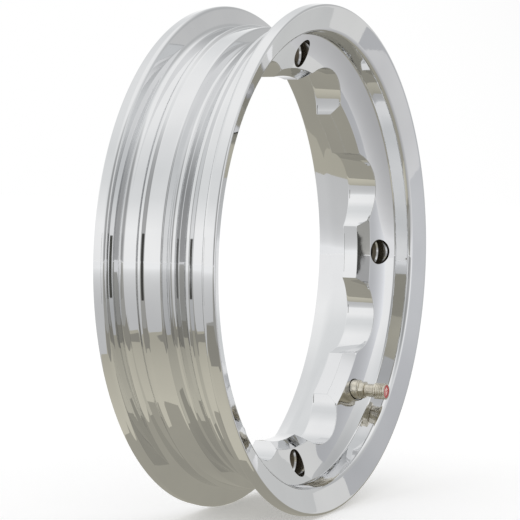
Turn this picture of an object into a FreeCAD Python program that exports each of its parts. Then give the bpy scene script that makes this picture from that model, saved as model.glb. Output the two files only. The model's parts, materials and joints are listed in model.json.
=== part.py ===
# Chromed 10 inch motor scooter rim with a metal valve, in millimetres.
# Frame: origin at the middle of the rim, +Z up, spin axis along Y, outer face towards -Y.
# The pieces are drawn with the spin axis along Z and the outer face towards +Z, then turned upright.
import FreeCAD, Part
import math
import os

V = FreeCAD.Vector

# Tyre side of the rim
RIM_DIAMETER = 280.0
FLANGE_GAP = 54.6
LIP_WIDTH = 7.2
LIP_FALL = 0.9
FLANGE_HEIGHT = 12.0
FLANGE_LEAN = 13.0
SEAT_WIDTH = 8.5
SEAT_TAPER = 3.0
HUMP_HEIGHT = 1.7
HUMP_TOP = 1.6
HUMP_FLANK = 1.5
SHELF_DROP = 0.2
WELL_DEPTH = 6.2
WELL_EDGE = -1.9
WELL_FALL = 2.3
WELL_WIDTH = 2.7
RIDGE_DROP = 3.1
RIDGE_REACH = 1.8

# Hub side of the rim
FACE_WIDTH = 15.0
FACE_DISH = 20.6
STEP_DRAFT = 6.9
RING_WIDTH = 19.8
RING_BEND = 10.5
RING_SLOPE_IN = 14.0
RING_SLOPE_OUT = 35.0
BEVEL_WIDTH = 4.2
BEVEL_SLOPE = 58.0
LAND_HEIGHT = 9.05
MOUNT_PLACE = -4.75
BARREL_WALL = 8.3
BARREL_DRAFT = 16.0
FLARE_WIDTH = 11.5
FLARE_SLOPE = 28.0

# Edge radii of the section
LIP_RADIUS = 1.1
FLANGE_RADIUS = 2.0
HEEL_RADIUS = 3.0
HUMP_RADIUS = 0.9
WELL_RADIUS = 1.5
RIDGE_RADIUS = 1.1
FACE_RADIUS = 3.0
STEP_RADIUS = 1.7
RING_RADIUS = 45.0
LAND_RADIUS = 0.4
BARREL_RADIUS = 2.0
FLARE_RADIUS = 30.0
BACK_RADIUS = 1.0

# Stud seats and scallops
STUD_COUNT = 4
STUD_INSET = 8.0
STUD_SEAT = 14.8
STUD_BORE = 9.5
STUD_SEAT_SINK = 1.2
STUD_SEAT_SLOPE = 45.0
SCALLOPS_PER_STUD = 2
SCALLOP_RADIUS = 25.8
SCALLOP_BITE = 8.6

# Valve pin and spring
PIN_DIAMETER = 1.2
PIN_SINK = 0.3
PIN_COLLAR_HEIGHT = 0.8
CUP_HEIGHT = 0.7
PIN_SEAL_STEP = 0.1
PIN_SEAL_HEIGHT = 1.0
SPRING_WIRE = 0.36
SPRING_TURNS = 6

# Valve core
CORE_SINK = 0.8
CORE_LENGTH = 9.9
CORE_HEAD = 2.8
CORE_WALL = 0.45
GUIDE_LENGTH = 1.6
FOOT_LENGTH = 1.1
GASKET_WIDTH = 0.7
GASKET_HEIGHT = 1.4
SHOULDER_HEIGHT = 1.0

# Valve stem and its seal
VALVE_INSET = 8.6
POCKET_RAISE = -0.2
NECK_WALL = 1.25
NECK_LENGTH = 11.35
TIP_RADIUS = 0.5
HEX_FLATS = 9.3
HEX_HEIGHT = 3.2
HEX_CHAMFER = 0.5
COLLAR_LEDGE = 0.5
COLLAR_HEIGHT = 5.5
COLLAR_RADIUS = 1.2
SHANK_STEP = 0.15
SEAL_THICKNESS = 0.6
SEAL_INSET = 0.3
PASSAGE_DIAMETER = 3.0
CHAMBER_MARGIN = 0.8

# Valve cap
CAP_WALL = 0.9
CAP_LENGTH = 7.2
CAP_ROOF = 1.0
CAP_RADIUS = 0.35
CAP_GROOVES = 5
GROOVE_PITCH = 1.05
GROOVE_WIDTH = 0.45
GROOVE_DEPTH = 0.3
CAP_GASKET = 0.8
CAP_RIM = 0.95
INSERT_DEPTH = 0.7
INSERT_RING = 1.2
INSERT_DISH = 0.35

# Clearances
THREAD_FIT = 0.03
GUIDE_FIT = 0.3
SPRING_FIT = 0.25
CUP_FIT = 0.4
BORE_FIT = 0.2
STOP_GAP = 0.15
POCKET_FIT = 0.5


# Helpers
def rounded_wire(points):
    """Closed wire in the XZ plane through (radius, height, rounding) corners, rounded by tangent arcs."""
    count = len(points)
    corners = [V(r, 0, z) for r, z, _ in points]
    cuts = []
    for i in range(count):
        here = corners[i]
        back = (corners[i - 1] - here).normalize()
        ahead = (corners[(i + 1) % count] - here).normalize()
        half = back.getAngle(ahead) / 2
        rounding = points[i][2]
        if rounding <= 0:
            cuts.append((here, None, here))
            continue
        reach = rounding / math.tan(half)
        middle = (back + ahead).normalize()
        crown = here + middle * (rounding / math.sin(half) - rounding)
        cuts.append((here + back * reach, crown, here + ahead * reach))
    edges = []
    for i in range(count):
        start, crown, end = cuts[i]
        if crown is not None:
            edges.append(Part.Arc(start, crown, end).toShape())
        following = cuts[(i + 1) % count][0]
        if end.distanceToPoint(following) > 1e-6:
            edges.append(Part.makeLine(end, following))
    return Part.Wire(edges)


def turned(points):
    """Solid of revolution about Z of a closed outline given as (radius, height, rounding) corners."""
    return Part.Face(rounded_wire(points)).revolve(V(0, 0, 0), V(0, 0, 1), 360)


def plain(points):
    """Solid of revolution of an outline of sharp (radius, height) corners."""
    return turned([(r, z, 0) for r, z in points])


def on_circle(radius, angle, height=0.0):
    """Point on a circle about Z, the angle in degrees from +X."""
    turn = math.radians(angle)
    return V(radius * math.cos(turn), radius * math.sin(turn), height)


def rise(run, degrees):
    """Height gained over a run at a slope in degrees."""
    return run * math.tan(math.radians(degrees))


# Levels of the rim section that follow from the driving dimensions
outer = RIM_DIAMETER / 2
wall = FLANGE_GAP / 2
edge = wall + LIP_WIDTH
lip = outer - LIP_FALL
heel = outer - FLANGE_HEIGHT
heel_place = wall - rise(FLANGE_HEIGHT, FLANGE_LEAN)
toe = heel - rise(SEAT_WIDTH, SEAT_TAPER)
toe_place = heel_place - SEAT_WIDTH
hump = toe + HUMP_HEIGHT
hump_out = toe_place - HUMP_FLANK
hump_in = hump_out - HUMP_TOP
shelf = heel - SHELF_DROP
shelf_place = hump_in - HUMP_FLANK
well = shelf - WELL_DEPTH
well_back = WELL_EDGE + WELL_FALL
well_front = well_back + WELL_WIDTH
ridge = shelf - RIDGE_DROP
ridge_place = well_front + RIDGE_REACH

# The step wall r = face - k (face_place - z) meets the ring z = bend_place + m (r - bend)
face = outer - FACE_WIDTH
face_place = edge - rise(lip - face, FACE_DISH)
cone = face - RING_WIDTH
land = cone - BEVEL_WIDTH
land_place = MOUNT_PLACE + LAND_HEIGHT
cone_place = land_place + rise(BEVEL_WIDTH, BEVEL_SLOPE)
bend = cone + RING_BEND
bend_place = cone_place + rise(RING_BEND, RING_SLOPE_IN)
m = math.tan(math.radians(RING_SLOPE_OUT))
k = math.tan(math.radians(STEP_DRAFT))
corner = (face - k * (face_place - bend_place + m * bend)) / (1 - k * m)
corner_place = bend_place + m * (corner - bend)
barrel = shelf - BARREL_WALL
flare_place = FLARE_WIDTH - edge
flare = barrel + rise(MOUNT_PLACE - flare_place, BARREL_DRAFT)
barrel_back = flare + rise(FLARE_WIDTH, FLARE_SLOPE)

# Rim section, turned about the spin axis
section = [
    (lip, -edge, LIP_RADIUS),
    (outer, -wall, FLANGE_RADIUS),
    (heel, -heel_place, HEEL_RADIUS),
    (toe, -toe_place, HUMP_RADIUS),
    (hump, -hump_out, HUMP_RADIUS),
    (hump, -hump_in, HUMP_RADIUS),
    (shelf, -shelf_place, HUMP_RADIUS),
    (shelf, WELL_EDGE, RIDGE_RADIUS),
    (well, well_back, WELL_RADIUS),
    (well, well_front, WELL_RADIUS),
    (ridge, ridge_place, RIDGE_RADIUS),
    (shelf, shelf_place, HUMP_RADIUS),
    (hump, hump_in, HUMP_RADIUS),
    (hump, hump_out, HUMP_RADIUS),
    (toe, toe_place, HUMP_RADIUS),
    (heel, heel_place, HEEL_RADIUS),
    (outer, wall, FLANGE_RADIUS),
    (lip, edge, LIP_RADIUS),
    (face, face_place, FACE_RADIUS),
    (corner, corner_place, STEP_RADIUS),
    (bend, bend_place, RING_RADIUS),
    (cone, cone_place, LAND_RADIUS),
    (land, land_place, LAND_RADIUS),
    (land, MOUNT_PLACE, LAND_RADIUS),
    (barrel, MOUNT_PLACE, BARREL_RADIUS),
    (flare, flare_place, FLARE_RADIUS),
    (barrel_back, -edge, BACK_RADIUS),
]
rim = turned(section)

# Scallops round the hub opening, half a pitch away from the studs
scallops = STUD_COUNT * SCALLOPS_PER_STUD
scallop_pitch = 360.0 / scallops
scallop_centre = cone + SCALLOP_BITE - SCALLOP_RADIUS
cuts = []
for i in range(scallops):
    foot = on_circle(scallop_centre, (i + 0.5) * scallop_pitch, -edge)
    cuts.append(Part.makeCylinder(SCALLOP_RADIUS, 2 * edge, foot))

# Stud seats: a straight mouth, a conical seat for the nut and the bore behind it
stud_circle = cone + STUD_INSET
seat = STUD_SEAT / 2
bore = STUD_BORE / 2
seat_place = cone_place - STUD_SEAT_SINK
seat_low = seat_place - rise(seat - bore, STUD_SEAT_SLOPE)
stud_cut = plain([(0, -edge), (bore, -edge), (bore, seat_low), (seat, seat_place), (seat, edge), (0, edge)])
for i in range(STUD_COUNT):
    cutter = stud_cut.copy()
    cutter.translate(on_circle(stud_circle, i * 360.0 / STUD_COUNT))
    cuts.append(cutter)

# Radii of the valve, from the pin outwards
pin = PIN_DIAMETER / 2
guide = pin + GUIDE_FIT
coil = pin + SPRING_FIT + SPRING_WIRE / 2
pin_collar = coil + SPRING_WIRE / 2
chamber = pin_collar + SPRING_FIT
core_barrel = chamber + CORE_WALL
lower_bore = core_barrel + BORE_FIT
cup = lower_bore - CUP_FIT
pin_washer = cup - PIN_SEAL_STEP
upper_bore = core_barrel + GASKET_WIDTH
neck = upper_bore + NECK_WALL
shank = neck + SHANK_STEP
hex_corner = HEX_FLATS / math.sqrt(3)
collar = hex_corner + COLLAR_LEDGE
pocket = collar + POCKET_FIT
cap = neck + CAP_WALL
recess = cap - CAP_RIM

# Levels of the valve, from the air passage in the well outwards
passage_place = (well_back + well_front) / 2
passage = PASSAGE_DIAMETER / 2
chamber_end = passage_place - passage - CHAMBER_MARGIN
shank_end = passage_place + passage + CHAMBER_MARGIN
pocket_place = cone_place + POCKET_RAISE
seal_top = pocket_place + SEAL_THICKNESS
collar_top = seal_top + COLLAR_HEIGHT
hex_top = collar_top + HEX_HEIGHT
tip = hex_top + NECK_LENGTH
core_top = tip - CORE_SINK
core_head = core_top - CORE_HEAD
core_low = core_top - CORE_LENGTH
shoulder_top = core_head - GASKET_HEIGHT
shoulder_low = shoulder_top - SHOULDER_HEIGHT
chamber_top = core_top - GUIDE_LENGTH
chamber_low = core_low + FOOT_LENGTH
pin_top = tip - PIN_SINK
collar_high = chamber_top - STOP_GAP
collar_low = collar_high - PIN_COLLAR_HEIGHT
washer_top = core_low - STOP_GAP
washer_low = washer_top - PIN_SEAL_HEIGHT
cup_low = washer_low - CUP_HEIGHT
gasket_top = tip + CAP_GASKET
cap_top = gasket_top + CAP_ROOF
cap_low = cap_top - CAP_LENGTH
insert_low = cap_top - INSERT_DEPTH

# Valve pocket, tapped hole with its air chamber, and the passage up into the well
valve_circle = cone + VALVE_INSET
valve_at = on_circle(valve_circle, -scallop_pitch)
tapped = shank + THREAD_FIT
pocket_cut = plain([
    (0, chamber_end),
    (tapped, chamber_end),
    (tapped, pocket_place),
    (pocket, pocket_place),
    (pocket, edge),
    (0, edge),
])
pocket_cut.translate(valve_at)
cuts.append(pocket_cut)
passage_at = valve_at + V(0, 0, passage_place)
cuts.append(Part.makeCylinder(passage, outer - valve_circle, passage_at, valve_at))
rim = rim.cut(cuts)

# Stem: a turned body with a milled hexagon, bored through for the core
turned_body = turned([
    (0, shank_end, 0),
    (shank, shank_end, 0),
    (shank, seal_top, 0),
    (collar, seal_top, 0),
    (collar, collar_top, COLLAR_RADIUS),
    (neck, collar_top, 0),
    (neck, tip, TIP_RADIUS),
    (0, tip, 0),
])
hex_points = [on_circle(hex_corner, 60.0 * i, collar_top) for i in range(7)]
hexagon = Part.Face(Part.makePolygon(hex_points)).extrude(V(0, 0, HEX_HEIGHT))
hex_dress = plain([
    (0, collar_top),
    (hex_corner, collar_top),
    (hex_corner, hex_top - HEX_CHAMFER),
    (hex_corner - 2 * HEX_CHAMFER, hex_top),
    (0, hex_top),
])
stem_bore = plain([
    (0, shank_end),
    (lower_bore, shank_end),
    (lower_bore, shoulder_low),
    (upper_bore, shoulder_top),
    (upper_bore, tip),
    (0, tip),
])
valve_stem = turned_body.fuse(hexagon.common(hex_dress)).removeSplitter().cut(stem_bore)

# Washer in the pocket
seal_bore = shank + THREAD_FIT
seal_rim = collar - SEAL_INSET
valve_seal = plain([
    (seal_bore, pocket_place),
    (seal_rim, pocket_place),
    (seal_rim, seal_top),
    (seal_bore, seal_top),
])

# Core: a threaded head over a barrel with the spring chamber and a foot
head = upper_bore - THREAD_FIT
valve_core = plain([
    (guide, core_low),
    (core_barrel, core_low),
    (core_barrel, core_head),
    (head, core_head),
    (head, core_top),
    (guide, core_top),
    (guide, chamber_top),
    (chamber, chamber_top),
    (chamber, chamber_low),
    (guide, chamber_low),
])

# Gasket on the barrel of the core, seated on the cone of the stem
gasket_bore = core_barrel + THREAD_FIT
core_gasket = plain([
    (gasket_bore, shoulder_low),
    (lower_bore - THREAD_FIT, shoulder_low),
    (head, shoulder_top),
    (head, core_head),
    (gasket_bore, core_head),
])

# Pin with its spring collar and its cup, and the washer that closes the foot of the core
valve_pin = plain([
    (0, cup_low),
    (cup, cup_low),
    (cup, washer_low),
    (pin, washer_low),
    (pin, collar_low),
    (pin_collar, collar_low),
    (pin_collar, collar_high),
    (pin, collar_high),
    (pin, pin_top),
    (0, pin_top),
])
washer_bore = pin + THREAD_FIT
pin_seal = plain([
    (washer_bore, washer_low),
    (pin_washer, washer_low),
    (pin_washer, washer_top),
    (washer_bore, washer_top),
])

# Spring between the foot of the core and the collar of the pin
spring_tall = collar_low - chamber_low - SPRING_WIRE
helix = Part.makeHelix(spring_tall / SPRING_TURNS, spring_tall, coil)
wire_end = Part.Wire(Part.makeCircle(SPRING_WIRE / 2, V(coil, 0, 0), V(0, 1, 0)))
valve_spring = Part.Wire(helix.Edges).makePipeShell([wire_end], True, True)
valve_spring.translate(V(0, 0, chamber_low + SPRING_WIRE / 2))

# Cap: a ringed sleeve screwed on the neck, with a recess in its end
cap_bore = neck + THREAD_FIT
valve_cap = turned([
    (cap_bore, cap_low, 0),
    (cap, cap_low, CAP_RADIUS),
    (cap, cap_top, CAP_RADIUS),
    (recess, cap_top, 0),
    (recess, insert_low, 0),
    (0, insert_low, 0),
    (0, gasket_top, 0),
    (cap_bore, gasket_top, 0),
])
groove_floor = cap - GROOVE_DEPTH
groove_mouth = cap + GROOVE_DEPTH
first_groove = (cap_low + cap_top - (CAP_GROOVES - 1) * GROOVE_PITCH - GROOVE_WIDTH) / 2
grooves = []
for i in range(CAP_GROOVES):
    low = first_groove + i * GROOVE_PITCH
    high = low + GROOVE_WIDTH
    ring = [(groove_floor, low), (groove_mouth, low), (groove_mouth, high), (groove_floor, high)]
    grooves.append(plain(ring))
valve_cap = valve_cap.cut(grooves)

# Rubber disc inside the cap
cap_gasket = plain([(0, tip), (neck, tip), (neck, gasket_top), (0, gasket_top)])

# Red disc in the end of the cap, with a raised ring round a sunk middle
insert_edge = recess - THREAD_FIT
insert_ring = insert_edge - INSERT_RING
insert_floor = cap_top - INSERT_DISH
cap_insert = plain([
    (0, insert_low),
    (insert_edge, insert_low),
    (insert_edge, cap_top),
    (insert_ring, cap_top),
    (insert_ring, insert_floor),
    (0, insert_floor),
])

# Place the valve, turn everything upright and write each piece
valve_pieces = {
    "valve_stem": valve_stem,
    "valve_seal": valve_seal,
    "valve_core": valve_core,
    "core_gasket": core_gasket,
    "valve_pin": valve_pin,
    "pin_seal": pin_seal,
    "valve_spring": valve_spring,
    "valve_cap": valve_cap,
    "cap_gasket": cap_gasket,
    "cap_insert": cap_insert,
}
for shape in valve_pieces.values():
    shape.translate(valve_at)
pieces = {"rim": rim, **valve_pieces}
os.makedirs("parts", exist_ok=True)
for name, shape in pieces.items():
    shape.rotate(V(0, 0, 0), V(1, 0, 0), 90)
    solid = shape.Solids[0]
    print(name, "valid", shape.isValid(), "solids", len(shape.Solids), "volume %.1f" % solid.Volume)
    solid.exportStep("parts/" + name + ".step")
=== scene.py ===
# %% [markdown]
# # A chromed scooter rim
# This lesson dresses a solid model of a wheel rim so that it looks like a studio picture of the
# real one. The solid model comes first and stays fixed: it says where every piece is. Blender only
# adds what the eye sees, which here is mirror chrome, a dull nickel valve with a fine thread, and a
# red disc in its cap.

# %% Load the solid model
import json
import math

import bmesh
import bpy
import numpy as np
from mathutils import Matrix, Vector

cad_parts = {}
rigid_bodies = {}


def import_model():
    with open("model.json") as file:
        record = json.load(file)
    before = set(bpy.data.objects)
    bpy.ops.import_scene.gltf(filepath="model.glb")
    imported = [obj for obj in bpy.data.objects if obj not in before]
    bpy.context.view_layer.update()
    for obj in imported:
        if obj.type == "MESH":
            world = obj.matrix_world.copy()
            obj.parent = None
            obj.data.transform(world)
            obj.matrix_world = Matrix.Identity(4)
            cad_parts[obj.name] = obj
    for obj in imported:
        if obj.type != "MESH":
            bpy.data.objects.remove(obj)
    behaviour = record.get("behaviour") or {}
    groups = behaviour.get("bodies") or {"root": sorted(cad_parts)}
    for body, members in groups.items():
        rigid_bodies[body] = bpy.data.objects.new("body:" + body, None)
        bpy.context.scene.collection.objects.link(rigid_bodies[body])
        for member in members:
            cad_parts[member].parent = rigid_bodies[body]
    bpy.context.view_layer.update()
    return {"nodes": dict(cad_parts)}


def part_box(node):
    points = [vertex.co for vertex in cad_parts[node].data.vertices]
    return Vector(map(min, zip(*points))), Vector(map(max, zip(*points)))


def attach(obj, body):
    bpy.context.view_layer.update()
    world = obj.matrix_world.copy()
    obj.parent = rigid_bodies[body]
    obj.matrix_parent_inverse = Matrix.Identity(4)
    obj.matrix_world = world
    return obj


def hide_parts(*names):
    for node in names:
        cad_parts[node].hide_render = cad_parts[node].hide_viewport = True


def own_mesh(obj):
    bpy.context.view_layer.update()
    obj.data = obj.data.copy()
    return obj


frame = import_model()
print("pieces in the solid model:", sorted(frame["nodes"]))

# %% [markdown]
# The rim is a body of revolution, so nearly every surface in this file is a profile carried round
# an axis. A profile is a list of corners, each with its own radius and height. Sharp corners never
# look like metal, because a real edge is rounded and catches a thin line of light. A Bevel modifier
# could round them, but it would also round the edges of the holes. So each corner becomes a small
# tangent arc, and two extra points close to its ends keep the flats between the arcs truly flat in
# their shading.

# %% Rounded profiles
MM = 0.001
ARC_STEPS = 6
PER_CORNER = ARC_STEPS + 2
TINY, SIDE_SHARE = 1e-12, 0.44


def rounded(corners, rounding, steps=ARC_STEPS, keep=0.12):
    """Rounds closed profiles. corners has the shape (profiles, corners, 2), rounding one radius per
    corner. With the unit directions u and w to the two neighbours and half their angle h, the arc
    of radius R touches the sides at R / tan h from the corner, and its centre lies at R / sin h
    along the bisector. Points on the arc are blended between its two end spokes by sin((1 - t) a)
    and sin(t a) over sin a, a being its sweep."""
    before = np.roll(corners, 1, axis=1) - corners
    after = np.roll(corners, -1, axis=1) - corners
    before_len = np.linalg.norm(before, axis=2, keepdims=True)
    after_len = np.linalg.norm(after, axis=2, keepdims=True)
    u = before / np.maximum(before_len, TINY)
    w = after / np.maximum(after_len, TINY)
    half = np.arccos(np.clip((u * w).sum(2, keepdims=True), -1, 1)) / 2
    half = np.clip(half, 0.05, math.pi / 2 - 1e-4)
    reach = np.asarray(rounding)[None, :, None] / np.tan(half)
    reach = np.minimum(reach, SIDE_SHARE * np.minimum(before_len, after_len))
    radius = np.maximum(reach * np.tan(half), 1e-9)
    bisector = u + w
    bisector = bisector / np.maximum(np.linalg.norm(bisector, axis=2, keepdims=True), TINY)
    centre = corners + bisector * radius / np.sin(half)
    spoke_a = ((corners + u * reach - centre) / radius)[:, :, None, :]
    spoke_b = ((corners + w * reach - centre) / radius)[:, :, None, :]
    sweep = np.maximum(math.pi - 2 * half, 1e-4)[:, :, None, :]
    t = np.linspace(0, 1, steps)[None, None, :, None]
    arc = np.sin((1 - t) * sweep) * spoke_a + np.sin(t * sweep) * spoke_b
    arc = centre[:, :, None, :] + radius[:, :, None, :] * arc / np.sin(sweep)
    lead = corners + u * (reach + keep * np.maximum(before_len / 2 - reach, 0))
    trail = corners + w * (reach + keep * np.maximum(after_len / 2 - reach, 0))
    full = np.concatenate([lead[:, :, None, :], arc, trail[:, :, None, :]], axis=2)
    return full.reshape(len(corners), -1, 2)


print("a rounded corner has", PER_CORNER, "points")

# %% [markdown]
# A surface is a grid of points: columns run round the axis and rows run along the profile. Points
# could be added one by one in a loop, but numpy works out the whole grid at once, and foreach_set
# hands it to Blender in one step.

# %% Grids and pieces
CREASE = 32


def upright(x, y, s):
    """Puts a point of the turned shape, with s along the spin axis towards the outer face, into the
    frame."""
    return np.stack([x, -s, y], axis=-1)


def grid_mesh(name, points, closed_rows=True):
    """Makes a mesh from a grid of points (columns, rows, 3). Columns always close round the axis.
    Rows close too where the profile is a loop. Each face joins the points (i, j), (i, j+1),
    (i+1, j+1) and (i+1, j)."""
    columns, rows = points.shape[:2]
    a = np.arange(columns * rows).reshape(columns, rows)
    b = np.roll(a, -1, axis=0)
    if closed_rows:
        a2, b2 = np.roll(a, -1, axis=1), np.roll(b, -1, axis=1)
    else:
        a, a2, b, b2 = a[:, :-1], a[:, 1:], b[:, :-1], b[:, 1:]
    faces = np.stack([a, a2, b2, b], axis=-1).reshape(-1, 4)
    mesh = bpy.data.meshes.new(name)
    mesh.vertices.add(columns * rows)
    mesh.vertices.foreach_set("co", np.ascontiguousarray(points, dtype=np.float32).reshape(-1))
    mesh.loops.add(faces.size)
    mesh.loops.foreach_set("vertex_index", faces.reshape(-1).astype(np.int32))
    mesh.polygons.add(len(faces))
    mesh.polygons.foreach_set("loop_start", (np.arange(len(faces)) * 4).astype(np.int32))
    mesh.update(calc_edges=True)
    return mesh


def weld(mesh, distance=2e-6):
    """Merges points that lie on each other and turns every face outwards."""
    bm = bmesh.new()
    bm.from_mesh(mesh)
    bmesh.ops.remove_doubles(bm, verts=bm.verts, dist=distance)
    bmesh.ops.dissolve_degenerate(bm, edges=bm.edges, dist=distance)
    bmesh.ops.recalc_face_normals(bm, faces=bm.faces)
    bm.to_mesh(mesh)
    bm.free()


def smooth(mesh, crease=CREASE):
    """Shades a mesh smooth, apart from edges sharper than crease degrees."""
    mesh.shade_smooth()
    mesh.set_sharp_from_angle(angle=math.radians(crease))


def piece(name, mesh, crease=CREASE):
    """Links a mesh as a smooth object at the origin."""
    smooth(mesh, crease)
    made = bpy.data.objects.new(name, mesh)
    bpy.context.scene.collection.objects.link(made)
    print(f"{name}: {len(mesh.vertices)} points, {len(mesh.polygons)} faces")
    return made


print("edges stay sharp over", CREASE, "degrees")

# %% [markdown]
# The section of the rim is drawn once, in millimetres, and goes all the way round: the tyre side
# from back to front, then the dished face, the step, the conical ring, the lands and the barrel. It
# could be a list of bare points, but named radii, heights and tilts show what each line is for. A
# name that ends in AT is a height along the spin axis, and the others are radii or lengths.


# %% Lines of the section
def slope(degrees):
    """Rise over run of a line at this angle, its tangent."""
    return math.tan(math.radians(degrees))


FLANGE_TILT, BEAD_TILT, FACE_TILT, BEVEL_TILT = 13.0, 3.0, 20.6, 58.0
RING_TILT, RING_RISE, STEP_DRAFT, BARREL_TILT, FLARE_TILT = 14.0, 35.0, 6.9, 16.0, 28.0
FLANGE, BEAD, BEVEL, RING_INNER, FLARE_DEPTH = 12.0, 8.5, 4.2, 10.5, 11.5
OUTER, LIP, WALL, EDGE = 140.0, 139.1, 27.3, 34.5
HEEL, HEEL_AT = OUTER - FLANGE, WALL - FLANGE * slope(FLANGE_TILT)
TOE, TOE_AT = HEEL - BEAD * slope(BEAD_TILT), HEEL_AT - BEAD
HUMP, HUMP_OUT, HUMP_IN = TOE + 1.7, TOE_AT - 1.5, TOE_AT - 3.1
SHELF, SHELF_AT = HEEL - 0.2, TOE_AT - 4.6
WELL, RIDGE = SHELF - 6.2, SHELF - 3.1
FACE = 125.0
FACE_AT = EDGE - (LIP - FACE) * slope(FACE_TILT)
CONE, LAND, MOUNT = FACE - 19.8, FACE - 24.0, -4.75
LAND_AT = MOUNT + 9.05
CONE_AT = LAND_AT + BEVEL * slope(BEVEL_TILT)
BEND, BEND_AT = CONE + RING_INNER, CONE_AT + RING_INNER * slope(RING_TILT)
SLOPE, DRAFT = slope(RING_RISE), slope(STEP_DRAFT)
CORNER = (FACE - DRAFT * (FACE_AT - BEND_AT + SLOPE * BEND)) / (1 - DRAFT * SLOPE)
CORNER_AT = BEND_AT + SLOPE * (CORNER - BEND)
BARREL, FLARE_AT = SHELF - 8.3, FLARE_DEPTH - EDGE
FLARE = BARREL + (MOUNT - FLARE_AT) * slope(BARREL_TILT)
BARREL_BACK = FLARE + FLARE_DEPTH * slope(FLARE_TILT)
RING_LEAD = 1.2

# Each row is a corner's radius, its height and the radius of its rounding.
section = np.array([
    (LIP, -EDGE, 1.1), (OUTER, -WALL, 2.0), (HEEL, -HEEL_AT, 3.0), (TOE, -TOE_AT, 0.9),
    (HUMP, -HUMP_OUT, 0.9), (HUMP, -HUMP_IN, 0.9), (SHELF, -SHELF_AT, 0.9), (SHELF, -1.9, 1.1),
    (WELL, 0.4, 1.5), (WELL, 3.1, 1.5), (RIDGE, 4.9, 1.1), (SHELF, SHELF_AT, 0.9),
    (HUMP, HUMP_IN, 0.9), (HUMP, HUMP_OUT, 0.9), (TOE, TOE_AT, 0.9), (HEEL, HEEL_AT, 3.0),
    (OUTER, WALL, 2.0), (LIP, EDGE, 1.1), (FACE, FACE_AT, 3.0), (CORNER, CORNER_AT, 1.7),
    (CORNER - RING_LEAD, CORNER_AT - RING_LEAD * SLOPE, 0.0), (CONE + 1.0, 0.0, 0.0),
    (CONE, CONE_AT, 0.4), (LAND, LAND_AT, 0.4), (LAND, MOUNT, 0.4), (BARREL, MOUNT, 2.0),
    (FLARE, FLARE_AT, 30.0), (BARREL_BACK, -EDGE, 1.0)])
RING_TOP, RING_LOW, RING_EDGE, LAND_TOP, LAND_FOOT = 20, 21, 22, 23, 24
print("section with", len(section), "corners, ring corner at radius", round(CORNER, 2), "mm")

# %% [markdown]
# The ring is dished, and eight scallops bite into its inner edge. The scallops could be cut with a
# Boolean, but that leaves long thin faces in a mirror. Instead the columns of the grid are placed
# so that the edge of the ring can follow each scallop's circle.

# %% Dish and scallops
RING_BEND = 45.0
SCALLOPS, SCALLOP, SCALLOP_DEPTH = 8, 25.8, 8.6
SCALLOP_AT = CONE + SCALLOP_DEPTH - SCALLOP
SECTOR = 2 * math.pi / SCALLOPS
ARC_COLUMNS, LAND_COLUMNS, BESIDE = 27, 10, 0.14


def ring_height(r):
    """Height of the dished ring: a 14 degree cone, an arc of radius R = 45 mm and a 35 degree cone.
    The arc's centre (a, b) lies over the bend, and on the arc the height is
    b - sqrt(R^2 - (r - a)^2)."""
    low, high = math.radians(RING_TILT), math.radians(RING_RISE)
    away = RING_BEND / math.cos((high - low) / 2)
    a = BEND - away * math.sin((low + high) / 2)
    b = BEND_AT + away * math.cos((low + high) / 2)
    arc = b - np.sqrt(np.maximum(RING_BEND ** 2 - (r - a) ** 2, 0))
    inner = BEND_AT + math.tan(low) * (r - BEND)
    outer = BEND_AT + math.tan(high) * (r - BEND)
    arc_or_outer = np.where(r > a + RING_BEND * math.sin(high), outer, arc)
    return np.where(r < a + RING_BEND * math.sin(low), inner, arc_or_outer)


def scallop_reach(phi):
    """Radius at which a scallop's circle lies, phi radians from the scallop's middle: c cos(phi) +
    sqrt(R^2 - c^2 sin^2(phi)), with the circle's centre at c. Outside the circle it is zero."""
    inside = SCALLOP ** 2 - (SCALLOP_AT * np.sin(phi)) ** 2
    reach = SCALLOP_AT * np.cos(phi) + np.sqrt(np.maximum(inside, 0))
    return np.where(inside > 0, reach, 0.0)


def sector_angles():
    """Angles of the columns over one scallop and half of each neighbouring land. In the scallop
    they are even along its circle, and two columns sit just beside each corner where the scallop
    meets the land."""
    cosine = (LAND ** 2 + SCALLOP_AT ** 2 - SCALLOP ** 2) / (2 * LAND * SCALLOP_AT)
    phi_corner = math.acos(cosine)
    psi_end = math.atan2(LAND * math.sin(phi_corner), LAND * math.cos(phi_corner) - SCALLOP_AT)
    psi = np.linspace(-psi_end, psi_end, ARC_COLUMNS)[1:-1]
    phi = np.arctan2(SCALLOP * np.sin(psi), SCALLOP_AT + SCALLOP * np.cos(psi))
    corner = np.array([phi_corner - BESIDE / LAND, phi_corner + BESIDE / LAND])
    land = np.linspace(phi_corner, SECTOR / 2, LAND_COLUMNS)[1:]
    return np.concatenate([-land[-2::-1], -corner[::-1], phi, corner, land])


one_sector = sector_angles() + SECTOR / 2
theta = np.concatenate([one_sector + k * SECTOR for k in range(SCALLOPS)])
bite = scallop_reach(theta % SECTOR - SECTOR / 2)
print("columns", len(theta), "deepest scallop at radius", round(bite.max(), 2), "mm")

# %% [markdown]
# Now every column gets its own copy of the section. The corners at the ring's inner edge move
# outwards with the scallop, and the bevel of the lands runs out where the scallop has eaten it.
# The dish between them is curved, so it gets rows of its own instead of a straight line.

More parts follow.
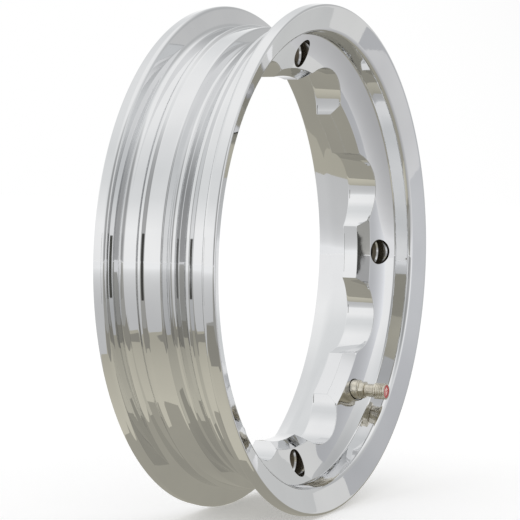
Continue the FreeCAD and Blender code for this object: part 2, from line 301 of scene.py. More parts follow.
# %% Section at every angle
RING_ROWS, EDGE_STEP, BEVEL_LEAST = 14, 1.0, 1.2
corners = np.repeat(section[None, :, :2], len(theta), axis=0)
ring_edge = np.maximum(CONE, bite)
land_edge = np.maximum(LAND, bite)
corners[:, RING_LOW, 0] = ring_edge + EDGE_STEP
corners[:, RING_LOW, 1] = ring_height(ring_edge + EDGE_STEP)
corners[:, RING_EDGE, 0] = ring_edge
corners[:, RING_EDGE, 1] = ring_height(ring_edge)
bevel_at = LAND_AT + (land_edge - LAND) * slope(BEVEL_TILT)
corners[:, LAND_TOP, 0] = land_edge
corners[:, LAND_TOP, 1] = np.minimum(bevel_at, corners[:, RING_EDGE, 1] - BEVEL_LEAST)
corners[:, LAND_FOOT, 0] = land_edge
rows = rounded(corners, section[:, 2])
share = np.linspace(0, 1, RING_ROWS)[None, :]
ring_r = (1 - share) * corners[:, RING_TOP, :1] + share * corners[:, RING_LOW, :1]
ring_rows = np.stack([ring_r, ring_height(ring_r)], axis=-1)
above, below = rows[:, :PER_CORNER * RING_TOP], rows[:, PER_CORNER * RING_EDGE:]
rim_profile = np.concatenate([above, ring_rows, below], axis=1) * MM
print("columns", len(theta), "rows", rim_profile.shape[1])

# %% [markdown]
# The rim itself is one casting, turned and plated. A Screw modifier would turn a plain rim, but
# here the section differs from column to column, so its points go round the axis directly: x is
# r cos(theta), y is r sin(theta) and s stays as it is.

# %% Rim surface
turn = theta[:, None]
rim_r, rim_s = rim_profile[:, :, 0], rim_profile[:, :, 1]
rim_points = upright(rim_r * np.cos(turn), rim_r * np.sin(turn), rim_s)
rim_mesh = grid_mesh("chrome_rim", rim_points)
weld(rim_mesh)
rim = piece("chrome_rim", rim_mesh)

# %% [markdown]
# Round holes are another matter: their edges cross the grid. The nut seats, the valve's pocket and
# its air passage are cut with one exact Boolean from closed turned cutters, after the grid is dense
# enough for the small new faces round each hole to keep the mirror's shape.


# %% Holes
def lathe(name, profile, at=(0.0, 0.0), columns=64, loop=False):
    """Turns a profile of (radius, s) points in millimetres about an axis along s through at, in the
    rim's plane. A point is (x0 + r cos a, y0 + r sin a, s)."""
    profile = np.asarray(profile, float) * MM
    a = np.linspace(0, 2 * math.pi, columns, endpoint=False)[:, None]
    r, s = profile[None, :, 0], profile[None, :, 1] + 0 * a
    points = upright(at[0] * MM + r * np.cos(a), at[1] * MM + r * np.sin(a), s)
    mesh = grid_mesh(name, points, closed_rows=loop)
    weld(mesh)
    return mesh


STUDS, BORE, NUT_SEAT, SEAT_DEPTH = 4, 4.75, 7.4, 2.65
STUD, VALVE, VALVE_TURN = CONE + 8.0, CONE + 8.6, -math.pi / 4
SEAT_AT, POCKET_AT = CONE_AT - 1.2, CONE_AT - 0.2
CUT_LOW, CUT_TOP, PASSAGE, PASSAGE_LOW = -20, 26, 4.03, -0.55
FLATS = 9.3
COLLAR = FLATS / math.sqrt(3) + 0.5
POCKET = COLLAR + 0.5
valve_xy = (VALVE * math.cos(VALVE_TURN), VALVE * math.sin(VALVE_TURN))
stud_profile = [(0, CUT_LOW), (BORE, CUT_LOW), (BORE, SEAT_AT - SEAT_DEPTH), (NUT_SEAT, SEAT_AT),
                (NUT_SEAT, CUT_TOP), (0, CUT_TOP)]
pocket_profile = [(0, PASSAGE_LOW), (PASSAGE, PASSAGE_LOW), (PASSAGE, POCKET_AT),
                  (POCKET, POCKET_AT), (POCKET, CUT_TOP), (0, CUT_TOP)]
cutters = [lathe(f"stud_cut_{k}", stud_profile, (STUD * math.cos(a), STUD * math.sin(a)))
           for k, a in enumerate(k * 2 * math.pi / STUDS for k in range(STUDS))]
cutters.append(lathe("pocket_cut", pocket_profile, valve_xy))

holder = bpy.data.collections.new("cutters")
bpy.context.scene.collection.children.link(holder)
for mesh in cutters:
    holder.objects.link(bpy.data.objects.new(mesh.name, mesh))
cut = rim.modifiers.new("holes", "BOOLEAN")
cut.operand_type = "COLLECTION"
cut.collection = holder
cut.solver = "EXACT"
bpy.context.view_layer.update()
depsgraph = bpy.context.evaluated_depsgraph_get()
drilled = bpy.data.meshes.new_from_object(rim.evaluated_get(depsgraph))
rim.modifiers.clear()
rim.data = drilled
for cutter in list(holder.objects):
    bpy.data.objects.remove(cutter)
bpy.data.collections.remove(holder)
smooth(drilled)
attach(rim, "wheel_rim")
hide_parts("rim")
print("rim after drilling:", len(drilled.polygons), "faces")

# %% [markdown]
# The valve is small, but it is the one warm and coloured spot in the picture. Its stem is one
# turned bar: a shank, a round collar, a hexagon for a spanner and a neck, smooth below the cap and
# with a very fine thread under it. The hexagon could be a piece of its own, but one grid makes all
# of it, because its radius can depend on the angle: six flats make the hexagon, and a slow helix
# makes the thread.

# %% Valve stem
SEAL_TOP = POCKET_AT + 0.6
COLLAR_TOP = SEAL_TOP + 5.5
HEX_TOP = COLLAR_TOP + 3.2
TIP = HEX_TOP + 11.35
GASKET_TOP = TIP + 0.8
CAP_TOP = GASKET_TOP + 1.0
CAP_LOW = CAP_TOP - 7.2
NECK, SHANK, LOWER_BORE, UPPER_BORE = 3.845, 3.995, 2.095, 2.595
SHANK_LOW, SHANK_EASED, COLLAR_ROUND, HEX_CONE = 4.05, 4.45, 1.2, 1.75
PITCH, THREAD, THREAD_LEAD, THREAD_GROW = 0.794, 0.22, 0.6, 0.4
STEM_COLUMNS = 96


def hexagon(a):
    """Radius of a hexagon F across its flats: F / 2 over the cosine of the angle from the nearest
    flat."""
    return FLATS / 2 / np.cos((a % (math.pi / 3)) - math.pi / 6)


def stem_surface():
    """Rows of (radius, s) for every angle. The hexagon is the smaller of the flats and a 30 degree
    cone, and under the cap the neck's radius falls by a V, 0.22 mm deep, that repeats each pitch
    and climbs one pitch a turn."""
    a = np.linspace(0, 2 * math.pi, STEM_COLUMNS, endpoint=False)[:, None]
    flat = 0 * a
    rows = []

    def ring(r, s):
        rows.append((r + flat, s + flat))

    ring(LOWER_BORE, SHANK_LOW)
    ring(SHANK - 0.4, SHANK_LOW)
    ring(SHANK, SHANK_EASED)
    ring(SHANK, SEAL_TOP)
    ring(COLLAR - 0.25, SEAL_TOP)
    ring(COLLAR - 0.05, SEAL_TOP + 0.08)
    ring(COLLAR, SEAL_TOP + 0.3)
    for q in np.linspace(0, math.pi / 2, 9):
        ring(COLLAR - COLLAR_ROUND + COLLAR_ROUND * math.cos(q),
             COLLAR_TOP - COLLAR_ROUND + COLLAR_ROUND * math.sin(q))
    hex_r = hexagon(a)
    ring(np.minimum(hex_r, COLLAR - 1.25), COLLAR_TOP)
    ring(hex_r * 0.985, COLLAR_TOP + 0.02)
    for s in np.linspace(COLLAR_TOP + 0.12, HEX_TOP, 14):
        ring(np.minimum(hex_r, FLATS / 2 + (HEX_TOP - s) * HEX_CONE), s)
    ring(FLATS / 2 - 0.25, HEX_TOP + 0.02)
    ring(NECK + 0.15, HEX_TOP + 0.03)
    ring(NECK - THREAD, HEX_TOP + 0.25)
    for s in np.arange(HEX_TOP + 0.4, TIP - 0.6, PITCH / 8):
        wave = np.abs(((s / PITCH - a / (2 * math.pi)) % 1.0) - 0.5) * 2
        begun = np.clip((s - CAP_LOW + THREAD_LEAD) / THREAD_GROW, 0, 1)
        ring(NECK - THREAD * begun * np.clip(wave * 1.25, 0, 1), s)
    ring(NECK - THREAD, TIP - 0.4)
    ring(NECK - 0.5, TIP)
    ring(UPPER_BORE, TIP)
    ring(UPPER_BORE, TIP - 5.0)
    ring(LOWER_BORE, TIP - 6.0)
    r = np.concatenate([r for r, _ in rows], axis=1) * MM
    s = np.concatenate([s for _, s in rows], axis=1) * MM
    return upright(valve_xy[0] * MM + r * np.cos(a), valve_xy[1] * MM + r * np.sin(a), s)


stem_mesh = grid_mesh("threaded_stem", stem_surface())
weld(stem_mesh)
stem = piece("threaded_stem", stem_mesh, crease=28)
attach(stem, "wheel_rim")
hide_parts("valve_stem")

# %% [markdown]
# The cap is a small ringed sleeve. Its rings are there for the fingers, so they are rounded ridges
# with narrow grooves between them. A bump in the material could draw them, but they show against
# the light at the cap's edge, so they are in the profile.

# %% Cap
CAP, RECESS, RECESS_AT = NECK + 0.9, NECK - 0.05, CAP_TOP - 0.7
CAP_EASE, CAP_BORE = 0.35, NECK + 0.03
GROOVES, GROOVE_GAP, GROOVE, GROOVE_HALF = 5, 1.05, 0.3, 0.3


def cap_profile():
    """The cap's outside is its radius less a narrow groove, 0.3 mm deep, at five even places: each
    groove is a raised cosine, so its edges are soft."""
    s = np.linspace(CAP_LOW + CAP_EASE, CAP_TOP - CAP_EASE, 131)
    first = (CAP_LOW + CAP_TOP - (GROOVES - 1) * GROOVE_GAP) / 2
    off = s[:, None] - (first + GROOVE_GAP * np.arange(GROOVES))[None, :]
    raised = 0.5 + 0.5 * np.cos(off / GROOVE_HALF * math.pi)
    groove = np.where(np.abs(off) < GROOVE_HALF, raised, 0).max(axis=1)
    q = np.linspace(0, math.pi / 2, 6)
    low = np.stack([CAP - CAP_EASE + CAP_EASE * np.sin(q),
                    CAP_LOW + CAP_EASE - CAP_EASE * np.cos(q)], 1)
    high = np.stack([CAP - CAP_EASE + CAP_EASE * np.cos(q),
                     CAP_TOP - CAP_EASE + CAP_EASE * np.sin(q)], 1)
    side = np.stack([CAP - GROOVE * groove, s], 1)
    inside = [(0, GASKET_TOP), (CAP_BORE, GASKET_TOP), (CAP_BORE, CAP_LOW)]
    end = [(RECESS + 0.08, CAP_TOP), (RECESS, CAP_TOP - 0.08), (RECESS, RECESS_AT), (0, RECESS_AT)]
    return np.concatenate([inside, low, side, high, end])


cap_mesh = lathe("ringed_cap", cap_profile(), valve_xy, columns=72)
cap = piece("ringed_cap", cap_mesh, crease=40)
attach(cap, "wheel_rim")
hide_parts("valve_cap")

# %% [markdown]
# The washer seals the valve in its pocket. It is a flat rubber ring, and the collar's pressure
# rounds its outer edges. A torus would be too round for it, so it is a rounded rectangle, turned.

# %% Washer
WASHER_IN, WASHER_OUT = SHANK + 0.03, COLLAR - 0.3
washer_corners = np.array([[(WASHER_IN, POCKET_AT), (WASHER_OUT, POCKET_AT),
                            (WASHER_OUT, SEAL_TOP), (WASHER_IN, SEAL_TOP)]])
washer_profile = rounded(washer_corners, [0.1, 0.2, 0.2, 0.1], steps=5)[0]
washer = piece("rubber_washer", lathe("rubber_washer", washer_profile, valve_xy, loop=True))
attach(washer, "wheel_rim")
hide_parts("valve_seal")

# %% [markdown]
# The red disc closes the cap's end, with a raised ring round a sunk middle. Paint on the cap could
# show the colour, but not the shadow in the sunk middle, so the disc is a turned piece of its own.

# %% Red disc
DISC, DISH = RECESS - 0.03, 0.35


def disc_profile():
    """The disc's top is flat on its outer ring, then falls 0.35 mm through half a cosine to its
    middle."""
    r = np.linspace(DISC - 1.0, DISC - 1.4, 9)
    t = np.linspace(0, 1, 9)
    dish = np.stack([r, CAP_TOP - DISH * (0.5 - 0.5 * np.cos(math.pi * t))], 1)
    side = [(0, RECESS_AT), (DISC, RECESS_AT), (DISC, CAP_TOP - 0.12), (RECESS - 0.15, CAP_TOP)]
    return np.concatenate([side, dish, [(1.0, CAP_TOP - 0.37), (0, CAP_TOP - 0.38)]])


red_disc = piece("red_disc", lathe("red_disc", disc_profile(), valve_xy), crease=40)
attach(red_disc, "wheel_rim")
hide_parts("cap_insert")

# %% [markdown]
# Inside the core a small coil holds the pin shut. The cap hides it, but it has to shorten when the
# pin is pressed, or the pin's collar would pass through the wire. A curve with a bevel would draw
# the coil too. Here it is a wire tube along a helix, worked out as a grid like the rest.

# %% Spring
TURNS, COIL, WIRE, TRAVEL, END_GAP = 6, 1.03, 0.18, 1.5, 0.03
TURN_STEPS, WIRE_SIDES = 24, 12
spring_low, spring_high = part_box("valve_spring")
SPRING_FOOT, SPRING_TOP = -spring_high[1] / MM, -spring_low[1] / MM
SPRING_LENGTH = SPRING_TOP - SPRING_FOOT


def coil_surface():
    """A tube of radius w round the helix (R cos a, R sin a, s), with a = 2 pi n t and s even in t:
    its points are the helix plus w (cos q outwards + sin q along the spin axis). Both ends close in
    a point."""
    t = np.linspace(0, 1, TURN_STEPS * TURNS + 1)[None, :]
    a = 2 * math.pi * TURNS * t
    q = np.linspace(0, 2 * math.pi, WIRE_SIDES, endpoint=False)[:, None]
    w = np.where((t == 0) | (t == 1), 0.0, WIRE)
    r = COIL + w * np.cos(q)
    rise = SPRING_LENGTH - 2 * WIRE - 2 * END_GAP
    s = SPRING_FOOT + WIRE + END_GAP + rise * t + w * np.sin(q)
    return upright(valve_xy[0] + r * np.cos(a), valve_xy[1] + r * np.sin(a), s) * MM


spring_mesh = grid_mesh("coil_spring", coil_surface(), closed_rows=False)
weld(spring_mesh)
spring = piece("coil_spring", spring_mesh)
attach(spring, "wheel_rim")
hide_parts("valve_spring")

# %% [markdown]
# Every finish below is a Principled shader with a few nodes on it. The nodes could be wired one by
# one for each finish, but the same few steps come back each time: a mottle, a ramp between two
# colours, a range of roughness, a bump. So each step is a small function. All of them read Object
# coordinates, so a pattern stays with its piece.


# %% Steps of a finish
def base_material(name, colour, metallic, roughness):
    """A Principled shader with its plain values set on its own sockets."""
    made = bpy.data.materials.new(name)
    made.use_nodes = True
    made.diffuse_color = (*colour, 1)
    shader = made.node_tree.nodes["Principled BSDF"]
    shader.inputs["Base Color"].default_value = (*colour, 1)
    shader.inputs["Metallic"].default_value = metallic
    shader.inputs["Roughness"].default_value = roughness
    return made, made.node_tree, shader


def mottle(tree, scale, detail=3.0, stretch=(1, 1, 1)):
    """Noise on Object coordinates, stretched along the axes."""
    coords = tree.nodes.new("ShaderNodeTexCoord")
    place = tree.nodes.new("ShaderNodeMapping")
    place.inputs["Scale"].default_value = stretch
    noise = tree.nodes.new("ShaderNodeTexNoise")
    noise.inputs["Scale"].default_value = scale
    noise.inputs["Detail"].default_value = detail
    tree.links.new(coords.outputs["Object"], place.inputs["Vector"])
    tree.links.new(place.outputs["Vector"], noise.inputs["Vector"])
    return noise.outputs["Fac"]


def blend_colours(tree, source, low, high, low_at=0.35, high_at=0.65):
    """A ramp between two colours."""
    ramp = tree.nodes.new("ShaderNodeValToRGB")
    ramp.color_ramp.elements[0].position = low_at
    ramp.color_ramp.elements[1].position = high_at
    ramp.color_ramp.elements[0].color = (*low, 1)
    ramp.color_ramp.elements[1].color = (*high, 1)
    tree.links.new(source, ramp.inputs["Fac"])
    return ramp.outputs["Color"]


def map_range(tree, source, **ends):
    """A Map Range node; ends gives the sockets to set, such as from_min=0.1."""
    span = tree.nodes.new("ShaderNodeMapRange")
    for name, value in ends.items():
        span.inputs[name.replace("_", " ").title()].default_value = value
    tree.links.new(source, span.inputs["Value"])
    return span.outputs["Result"]


def between(tree, source, low, high):
    """Maps 0..1 to low..high."""
    return map_range(tree, source, to_min=low, to_max=high)


def fade(tree, source, start, end):
    """1 before start, 0 after end, even between them."""
    return map_range(tree, source, from_min=start, from_max=end, to_min=1.0, to_max=0.0)


def maths(tree, kind, *values):
    """A Math node fed with sockets or plain numbers."""
    node = tree.nodes.new("ShaderNodeMath")
    node.operation = kind
    for socket, value in zip(node.inputs, values):
        if isinstance(value, (int, float)):
            socket.default_value = value
        else:
            tree.links.new(value, socket)
    return node.outputs[0]


def bump(tree, shader, height, distance):
    """Feeds a height of 0 to 1, times a distance in metres, into the shader's normal."""
    node = tree.nodes.new("ShaderNodeBump")
    node.inputs["Distance"].default_value = distance
    tree.links.new(height, node.inputs["Height"])
    tree.links.new(node.outputs["Normal"], shader.inputs["Normal"])


def place_axes(tree):
    """The x, y and z of a point on the piece."""
    coords = tree.nodes.new("ShaderNodeTexCoord")
    axes = tree.nodes.new("ShaderNodeSeparateXYZ")
    tree.links.new(coords.outputs["Object"], axes.inputs[0])
    return axes.outputs


def layered(tree, factor, under):
    """A Mix node that shows the colour under where factor is 0, and its socket B where it is 1."""
    layer = tree.nodes.new("ShaderNodeMix")
    layer.data_type = "RGBA"
    tree.links.new(factor, layer.inputs["Factor"])
    tree.links.new(under, layer.inputs["A"])
    return layer


print("steps ready: mottle, blend_colours, between, fade, maths, bump, place_axes, layered")

# %% [markdown]
# Chrome has almost no colour of its own. What makes it look real is a very low roughness that
# changes a little from place to place, and a slight waviness from polishing. A flat mirror without
# them would look computed. Inside the narrow stud bores, and low on the walls of their seats, the
# colour is a painted shaded brown, and the roughness rises.

# %% Chrome
BORE_FADE, SEAT_IN, SEAT_OUT = (0.0063, 0.0067), (0.00725, 0.00735), (0.0075, 0.0076)
SEAT_LOW = (0.0132, 0.0144)
CHROME, CHROME_LOW, CHROME_HIGH = (0.79, 0.795, 0.8), (0.76, 0.765, 0.775), (0.82, 0.825, 0.83)
# The brown is painted shade for the insides of the stud bores and the low walls of their seats.
BORE_SHADE_BROWN = (0.15, 0.13, 0.1, 1)


def painted_bore_shade(tree):
    """1 inside the stud bores and low on the walls of their seats, where the chrome gets painted
    shade.
    The distance from the nearest of the four stud axes is the smaller of the lengths of
    (|x| - c, z) and (x, |z| - c)."""
    axes = place_axes(tree)
    reach = []
    for along, across in (("X", "Z"), ("Z", "X")):
        off = maths(tree, "SUBTRACT", maths(tree, "ABSOLUTE", axes[along]), STUD * MM)
        squares = [maths(tree, "POWER", side, 2.0) for side in (off, axes[across])]
        reach.append(maths(tree, "SQRT", maths(tree, "ADD", *squares)))
    near = maths(tree, "MINIMUM", *reach)
    bore = fade(tree, near, *BORE_FADE)
    wall = maths(tree, "SUBTRACT", fade(tree, near, *SEAT_OUT), fade(tree, near, *SEAT_IN))
    low = fade(tree, maths(tree, "MULTIPLY", axes["Y"], -1.0), *SEAT_LOW)
    return maths(tree, "MAXIMUM", bore, maths(tree, "MULTIPLY", wall, low))


def chrome_plate():
    """Mirror chrome: a cool light grey, roughness 0.01 to 0.05 by a soft mottle, and a faint
    polishing wave. In the stud bores it turns a painted shaded brown, and rougher."""
    made, tree, shader = base_material("chrome_plate", CHROME, 1.0, 0.03)
    tint = blend_colours(tree, mottle(tree, 18.0), CHROME_LOW, CHROME_HIGH)
    # Inside the stud bores the colour turns to a painted shaded brown.
    shaded_bore = painted_bore_shade(tree)
    coat = layered(tree, shaded_bore, tint)
    coat.inputs["B"].default_value = BORE_SHADE_BROWN
    tree.links.new(coat.outputs["Result"], shader.inputs["Base Color"])
    gloss = between(tree, mottle(tree, 240.0, 4.0), 0.01, 0.05)
    dull = maths(tree, "MULTIPLY", shaded_bore, 0.4)
    tree.links.new(maths(tree, "MAXIMUM", gloss, dull), shader.inputs["Roughness"])
    bump(tree, shader, mottle(tree, 55.0, 2.0), 0.00004)
    return made


chrome = chrome_plate()
print("chrome with", len(chrome.node_tree.nodes), "nodes")

# %% [markdown]
# The valve's metals are duller: nickel on brass for the stem and cap, plain turned brass for the
# core, drawn wire for the spring. They differ in colour and roughness only, so one function makes
# all three, with stains and with scratches that run along the valve.

# %% Nickel, brass and wire
SCRATCH_STRETCH = (1, 0.15, 1)


def valve_metal(name, low, high, rough):
    """A worn metal between two colours, with scratches drawn out along the valve that move its
    roughness from 0.08 under to 0.12 over the middle value."""
    made, tree, shader = base_material(name, high, 1.0, rough)
    tint = blend_colours(tree, mottle(tree, 320.0, 4.0), low, high)
    tree.links.new(tint, shader.inputs["Base Color"])
    scratch = mottle(tree, 900.0, 3.0, SCRATCH_STRETCH)
    worn = between(tree, scratch, rough - 0.08, rough + 0.12)
    tree.links.new(worn, shader.inputs["Roughness"])
    bump(tree, shader, scratch, 0.00003)
    return made


dull_nickel = valve_metal("dull_nickel", (0.55, 0.51, 0.43), (0.8, 0.76, 0.66), 0.2)
turned_brass = valve_metal("turned_brass", (0.62, 0.46, 0.2), (0.78, 0.62, 0.3), 0.28)
spring_wire = valve_metal("spring_wire", (0.42, 0.42, 0.43), (0.6, 0.6, 0.61), 0.3)
print("valve metals:", dull_nickel.name, turned_brass.name, spring_wire.name)

# %% [markdown]
# Rubber is never quite black: a dusty bloom lies on it. The red plastic is glossy on its raised
# ring, and its sunk middle is a speckled pink. A second material could colour the middle,
# but its edge would follow the faces, so the distance from the valve's axis chooses the colour.

# %% Rubber and red plastic
PINK_MIDDLE = (0.0023, 0.0026)


def rubber():
    """Black rubber with a dusty bloom."""
    made, tree, shader = base_material("black_rubber", (0.02, 0.02, 0.02), 0.0, 0.6)
    bloom = mottle(tree, 700.0, 4.0)
    tint = blend_colours(tree, bloom, (0.03, 0.03, 0.03), (0.07, 0.07, 0.072))
    tree.links.new(tint, shader.inputs["Base Color"])
    tree.links.new(between(tree, bloom, 0.5, 0.75), shader.inputs["Roughness"])
    bump(tree, shader, bloom, 0.00004)
    return made


def red_plastic():
    """Glossy red plastic, with its sunk middle a speckled pink. The middle is where the
    distance from the valve's axis is under about 2.4 mm."""
    made, tree, shader = base_material("red_plastic", (0.5, 0.02, 0.02), 0.0, 0.3)
    dust = mottle(tree, 500.0)
    tint = blend_colours(tree, dust, (0.36, 0.012, 0.014), (0.52, 0.04, 0.04))
    specks = mottle(tree, 1500.0, 2.0)
    pink = blend_colours(tree, specks, (0.5, 0.13, 0.12), (0.8, 0.6, 0.56), 0.42, 0.62)
    axes = place_axes(tree)
    offsets = [maths(tree, "SUBTRACT", axes[axis], at * MM) for axis, at in zip("XZ", valve_xy)]
    squares = [maths(tree, "POWER", off, 2.0) for off in offsets]
    middle = fade(tree, maths(tree, "SQRT", maths(tree, "ADD", *squares)), *PINK_MIDDLE)
    worn = layered(tree, middle, tint)
    tree.links.new(pink, worn.inputs["B"])
    tree.links.new(worn.outputs["Result"], shader.inputs["Base Color"])
    tree.links.new(between(tree, dust, 0.22, 0.42), shader.inputs["Roughness"])
    bump(tree, shader, dust, 0.00002)
    return made


black_rubber = rubber()
red = red_plastic()
print("soft and coloured finishes:", black_rubber.name, red.name)

# %% [markdown]
# Now each piece gets its finish. The pieces that the solid model already shows well, inside the
# valve, keep their shape and only change their material. The spring gets a mesh of its own.


# %% Dress the pieces
def dress(obj, material):
    """Gives an object one material."""
    obj.data.materials.clear()
    obj.data.materials.append(material)


finishes = {rim: chrome, stem: dull_nickel, cap: dull_nickel, washer: black_rubber, red_disc: red,
            spring: spring_wire}
inner_finishes = {"valve_core": turned_brass, "valve_pin": turned_brass,
                  "core_gasket": black_rubber, "pin_seal": black_rubber, "cap_gasket": black_rubber}
for obj, material in finishes.items():
    dress(obj, material)
for node, material in inner_finishes.items():
    dress(frame["nodes"][node], material)
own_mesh(spring)
print("dressed", len(finishes), "new pieces and", len(inner_finishes), "solids")

# %% [markdown]
# The camera repeats the photograph's: a long lens a little above the middle of the rim, turned so
# that the rim is seen mostly from its tyre side. A Track To constraint could aim it, but the
# photograph's roll and small shift are easier to set as plain directions.

# %% Camera
CAMERA_AT = (-0.93365, -0.45473, 0.05171)
scene = bpy.context.scene
camera_data = bpy.data.cameras.new("photo_view")
camera_data.sensor_width = 36.0
camera_data.lens = 129.583
camera_data.shift_x = -0.00114
camera_data.shift_y = -0.00752
camera_data.clip_start = 0.01
camera = bpy.data.objects.new("photo_view", camera_data)
scene.collection.objects.link(camera)
right, up = Vector((0.44635, -0.89479, 0.01098)), Vector((0.03853, 0.03148, 0.99876))
turned = Matrix((right, up, right.cross(up))).transposed().to_4x4()
camera.matrix_world = Matrix.Translation(CAMERA_AT) @ turned
scene.camera = camera
print("camera", round(Vector(CAMERA_AT).length, 3), "m from the rim's middle")

# %% [markdown]
# Chrome shows its surroundings, so the studio is most of its look. The rim stands in a white tent,
# which is not evenly white: it is brightest low down and overhead, greyer in between, and darker on
# the camera's side. A plain white world would leave the metal looking like paper. So the world's
# colour follows the direction of the ray: a ramp over the height, dimmed by two soft lobes. Matt
# surfaces get an even light of about the same level.

# %% World
EVEN_LIGHT = 0.85
# Height of the ray, from 0 straight down to 1 straight up, and the tent's level there.
STOPS = [(0.0, 0.9), (0.40, 1.0), (0.58, 1.0), (0.61, 1.0), (0.67, 0.92), (0.72, 0.84),
         (0.80, 0.82), (0.88, 0.9), (0.94, 1.0), (1.0, 1.0)]
# Azimuth, height and width of each lobe in degrees, and how much it takes away.
LOBES = [(224, 14, 48, 0.58), (338, 24, 48, 0.36)]
scene.view_settings.view_transform = "Standard"
world = bpy.data.worlds.new("tent")
scene.world = world
world.use_nodes = True
sky = world.node_tree
even = sky.nodes["Background"]
even.inputs["Color"].default_value = (1, 1, 1, 1)
even.inputs["Strength"].default_value = EVEN_LIGHT


def lobe(tree, ray, azimuth, height, wide, depth):
    """1 - depth times a smooth step of the ray's dot product with a fixed direction, from cos(wide)
    up to 1."""
    toward = tree.nodes.new("ShaderNodeVectorMath")
    toward.operation = "DOT_PRODUCT"
    a, h = math.radians(azimuth), math.radians(height)
    aim = (math.cos(a) * math.cos(h), math.sin(a) * math.cos(h), math.sin(h))
    toward.inputs[1].default_value = aim
    tree.links.new(ray, toward.inputs[0])
    step = map_range(tree, toward.outputs["Value"], from_min=math.cos(math.radians(wide)),
                     to_min=1.0, to_max=1.0 - depth)
    step.node.interpolation_type = "SMOOTHSTEP"
    return step


ray = sky.nodes.new("ShaderNodeTexCoord").outputs["Generated"]
axes = sky.nodes.new("ShaderNodeSeparateXYZ")
sky.links.new(ray, axes.inputs[0])
tent = sky.nodes.new("ShaderNodeValToRGB")
while len(tent.color_ramp.elements) < len(STOPS):
    tent.color_ramp.elements.new(0.5)
for element, (place, level) in zip(tent.color_ramp.elements, STOPS):
    element.position = place
    element.color = (level ** 1.1, level ** 1.03, level, 1)
sky.links.new(map_range(sky, axes.outputs["Z"], from_min=-1.0), tent.inputs["Fac"])
shown = sky.nodes.new("ShaderNodeBackground")
sky.links.new(tent.outputs["Color"], shown.inputs["Color"])
dim = maths(sky, "MULTIPLY", *[lobe(sky, ray, *values) for values in LOBES])
sky.links.new(dim, shown.inputs["Strength"])
rays = sky.nodes.new("ShaderNodeLightPath").outputs
seen = maths(sky, "MAXIMUM", rays["Is Camera Ray"], rays["Is Glossy Ray"])
seen = maths(sky, "MAXIMUM", seen, rays["Is Transmission Ray"])
choose = sky.nodes.new("ShaderNodeMixShader")
sky.links.new(seen, choose.inputs[0])
sky.links.new(even.outputs[0], choose.inputs[1])
sky.links.new(shown.outputs[0], choose.inputs[2])
sky.links.new(choose.outputs[0], sky.nodes["World Output"].inputs["Surface"])
print("tent with", len(STOPS), "levels and", len(LOBES), "lobes")

# %% [markdown]
# The floor is pale and keeps the rim's soft shadow. Chrome on a bare white floor looks like paper
# too, so cards stand and lie around it, as in any studio for bright metal: warm beige sheets under
# the rim, grey sheets beside it, upright grey panels, and three narrow dark cards that draw thin
# dark lines along the rounded edges. A picture of a studio could surround the rim instead, but
# plain cards are easy to move and read. Only mirror rays see them, so they hide nothing in any
# view, and the larger sheets change their level with the distance from the rim. The rim casts no
# shadow on the cards, so that change is painted: a painted shadow darkens the side and near sheets
# close to the rim, and a painted pool of light brightens the beige sheet close to it. A darker
# sheet under the rim and a darker strip in front of it are painted shadow too.

# %% Floor and cards
FLOOR, FLOOR_SIZE, FLOOR_GREY, FLOOR_GLOW = -0.1401, 8, (0.92, 0.92, 0.92), 0.27
RIGHT_X, RIGHT_Y = 0.4464, 0.8948


def stage_mesh(name, corners, colour):
    """One flat stage polygon with a matt finish of its own; returns its object, node tree and
    shader."""
    mesh = bpy.data.meshes.new(name)
    mesh.from_pydata(corners, [], [tuple(range(len(corners)))])
    made = bpy.data.objects.new(name, mesh)
    scene.collection.objects.link(made)
    finish = bpy.data.materials.new(name)
    finish.use_nodes = True
    shader = finish.node_tree.nodes["Principled BSDF"]
    shader.inputs["Base Color"].default_value = (*colour, 1)
    shader.inputs["Emission Color"].default_value = (*colour, 1)
    shader.inputs["Roughness"].default_value = 0.9
    shader.inputs["Specular IOR Level"].default_value = 0.0
    mesh.materials.append(finish)
    return made, finish.node_tree, shader


def card(name, corners, colour, near=(0.0, 1.0), far=(1.0, 1.0)):
    """A card that only mirror rays see. near and far are each a distance from the rim's middle and
    the glow's level there, and between them the level changes evenly. That change is painted shadow
    and light from the rim, which casts no real shadow on the cards."""
    made, tree, shader = stage_mesh(name, corners, colour)
    shader.inputs["Base Color"].default_value = (0, 0, 0, 1)
    away = tree.nodes.new("ShaderNodeVectorMath")
    away.operation = "LENGTH"
    coords = tree.nodes.new("ShaderNodeTexCoord")
    tree.links.new(coords.outputs["Object"], away.inputs[0])
    glow = map_range(tree, away.outputs["Value"], from_min=near[0], to_min=near[1],
                     from_max=far[0], to_max=far[1])
    tree.links.new(glow, shader.inputs["Emission Strength"])
    made.visible_camera = False
    made.visible_diffuse = False
    made.visible_shadow = False
    made.visible_transmission = False


def on_floor(layer, *places):
    """Corners on the floor from pairs (u, w), u to the camera's right and w away from the camera,
    in metres. Each layer lies 0.1 mm over the one before."""
    z = FLOOR + 0.0001 * layer
    return [(RIGHT_X * u + RIGHT_Y * w, -RIGHT_Y * u + RIGHT_X * w, z) for u, w in places]


def standing(start, end, top):
    """Corners of an upright card between two places on the floor, each an angle and a distance."""
    feet = [(r * math.cos(math.radians(a)), r * math.sin(math.radians(a))) for a, r in (start, end)]
    return [(x, y, z) for (x, y), z in zip((*feet, *feet[::-1]), (FLOOR, FLOOR, top, top))]


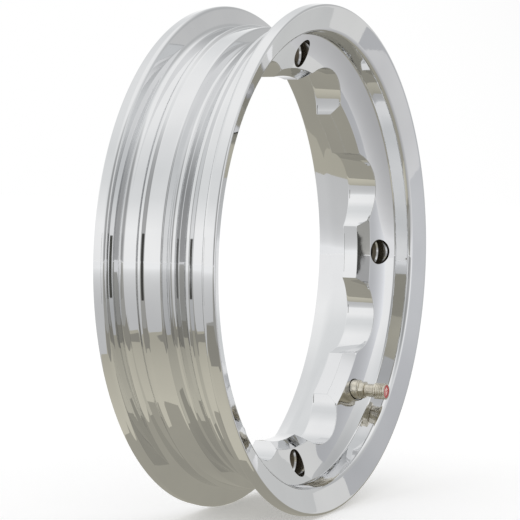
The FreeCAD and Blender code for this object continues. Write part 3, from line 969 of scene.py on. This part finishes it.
floor_corners = [(FLOOR_SIZE * x, FLOOR_SIZE * y, FLOOR)
                 for x, y in ((-1, -1), (1, -1), (1, 1), (-1, 1))]
_, _, floor_shader = stage_mesh("floor", floor_corners, FLOOR_GREY)
floor_shader.inputs["Emission Strength"].default_value = FLOOR_GLOW
# The left, right and near sheets glow less close to the rim: painted shadow of the rim.
card("left_sheet", on_floor(1, (-7, -7), (-0.05, -7), (-0.05, 7), (-7, 7)),
     (0.95, 0.955, 0.96), (0.25, 0.6), (2.5, 1.04))
card("right_sheet", on_floor(1, (-0.05, -7), (7, -7), (7, 7), (-0.05, 7)),
     (0.83, 0.83, 0.84), (0.25, 0.5), (1.6, 1.08))
card("near_sheet", on_floor(2, (-1.5, -7), (3.2, -7), (0.42, -0.28), (-0.2, -0.28)),
     (0.37, 0.367, 0.348), (0.4, 1.0), (3.0, 1.35))
# The beige sheet glows more close to the rim: a painted pool of light.
card("beige_sheet", on_floor(3, (-0.21, -0.32), (0.27, -0.30), (0.30, 0.70), (-0.62, 0.70),
                             (-0.265, 0.10)),
     (0.54, 0.517, 0.433), (0.19, 1.12), (0.30, 0.86))
# The darker sheet under the rim is a painted contact shadow.
card("under_shadow_sheet", on_floor(4, (-0.11, -0.092), (0.27, -0.11), (0.30, 0.70), (-0.30, 0.70),
                             (-0.30, 0.25), (-0.13, 0.08)), (0.375, 0.36, 0.305))
# The darker strip in front of the rim is painted shadow.
card("front_shadow_strip", on_floor(4, (-0.215, -0.32), (0.27, -0.30), (0.27, -0.24), (0.0, -0.235),
                             (-0.195, -0.178), (-0.215, -0.19)), (0.29, 0.28, 0.245))
card("dark_card", standing((224.7, 0.55), (228.3, 0.55), 0.088), (0.06, 0.06, 0.055))
card("side_card", standing((145.9, 0.55), (149.0, 0.55), 0.088), (0.09, 0.09, 0.08))
card("dim_card", standing((209.3, 0.55), (212.7, 0.55), 0.088), (0.14, 0.14, 0.135))
card("lilac_panel", standing((284, 1.9), (326.5, 0.95), 0.28), (0.51, 0.516, 0.533),
     (0.98, 1.0), (1.9, 1.9))
card("pale_panel", standing((326.5, 0.95), (336.8, 0.95), 0.25), (0.76, 0.76, 0.75))
card("grey_panel", standing((336.8, 0.95), (356, 0.95), 0.25), (0.64, 0.645, 0.64))
print("floor at", FLOOR, "m, with its cards")
